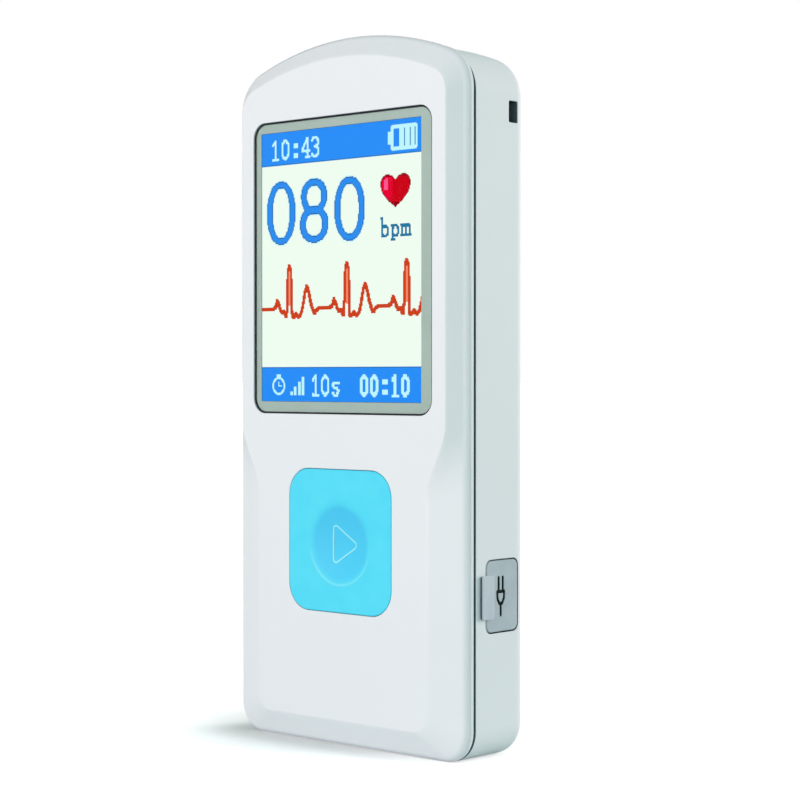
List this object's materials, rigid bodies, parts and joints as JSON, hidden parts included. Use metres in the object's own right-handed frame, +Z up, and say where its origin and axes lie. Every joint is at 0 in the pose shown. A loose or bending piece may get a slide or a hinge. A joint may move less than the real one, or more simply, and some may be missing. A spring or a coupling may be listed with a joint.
{
  "type": "ecg home monitor",
  "caption": "Hand-held ECG monitor: two-shell case with colour display, start button, hinged rubber port cover, lanyard eye and three skin electrodes on the back.",
  "frame": {"origin": "middle of the flat bottom end, between the two sides and at mid depth of the case", "axes": "+X to the right of a person who looks at the display, +Y from the display to the back, +Z up along the case"},
  "size_m": [0.0455, 0.015, 0.1016],
  "materials": {
    "shell_white": "satin white moulded ABS",
    "window_clear": "clear acrylic, polished",
    "window_border": "grey-green printed border, satin",
    "black_foam": "black foam and adhesive tape",
    "display_glass": "lit colour display behind a polariser film",
    "tray_white": "white backlight tray",
    "ribbon_film": "amber film",
    "connector_plastic": "ivory connector plastic",
    "black_plastic": "black moulded plastic",
    "circuit_board": "green solder mask",
    "chip_black": "black epoxy package",
    "tin_can": "tin-plated sheet",
    "small_parts": "ceramic with tinned ends",
    "button_blue": "light blue moulded cap, satin",
    "cover_rubber": "grey silicone rubber",
    "pouch_foil": "laminated foil pouch",
    "battery_tape": "yellow insulating tape",
    "lead_red": "red insulation",
    "lead_black": "black insulation",
    "electrode_steel": "brushed stainless steel",
    "spring_steel": "spring steel",
    "gilt_contact": "gilt contact metal",
    "screw_steel": "nickel-plated steel"
  },
  "bodies": {
    "housing": {"front_shell": "shell_white", "rear_shell": "shell_white", "display_lens": "window_clear", "lens_mask": "window_border", "lens_tape": "black_foam", "display_gasket": "black_foam", "lcd_panel": "display_glass", "lcd_tray": "tray_white", "lcd_ribbon": "ribbon_film", "ribbon_socket": "connector_plastic", "lcd_holder": "black_plastic", "main_board": "circuit_board", "processor_chip": "chip_black", "amplifier_chip": "chip_black", "memory_chip": "chip_black", "wireless_module": "tin_can", "crystal": "tin_can", "small_parts": "small_parts", "switch_base": "black_plastic", "switch_frame": "tin_can", "usb_socket": "tin_can", "usb_tongue": "chip_black", "port_strap": "cover_rubber", "battery_cell": "pouch_foil", "battery_board": "battery_tape", "battery_pad": "black_foam", "lead_positive": "lead_red", "lead_negative": "lead_black", "electrode_upper": "electrode_steel", "electrode_left": "electrode_steel", "electrode_right": "electrode_steel", "electrode_clips": "spring_steel", "contact_springs": "gilt_contact", "housing_screws": "screw_steel", "board_screws": "screw_steel"},
    "button": {"start_button": "button_blue", "switch_plunger": "black_plastic"},
    "port_cover": {"port_cover": "cover_rubber"}
  },
  "joints": [
    {"name": "button_travel", "type": "slide", "parent": "housing", "child": "button", "axis": [0, 1, 0], "range_m": [0, 0.0004], "stiffness_N_per_m": 4000},
    {"name": "cover_hinge", "type": "hinge", "parent": "housing", "child": "port_cover", "pos_m": [0.02245, 0.00505, 0.02275], "axis": [0, 0, 1], "range_deg": [0, 140]}
  ]
}
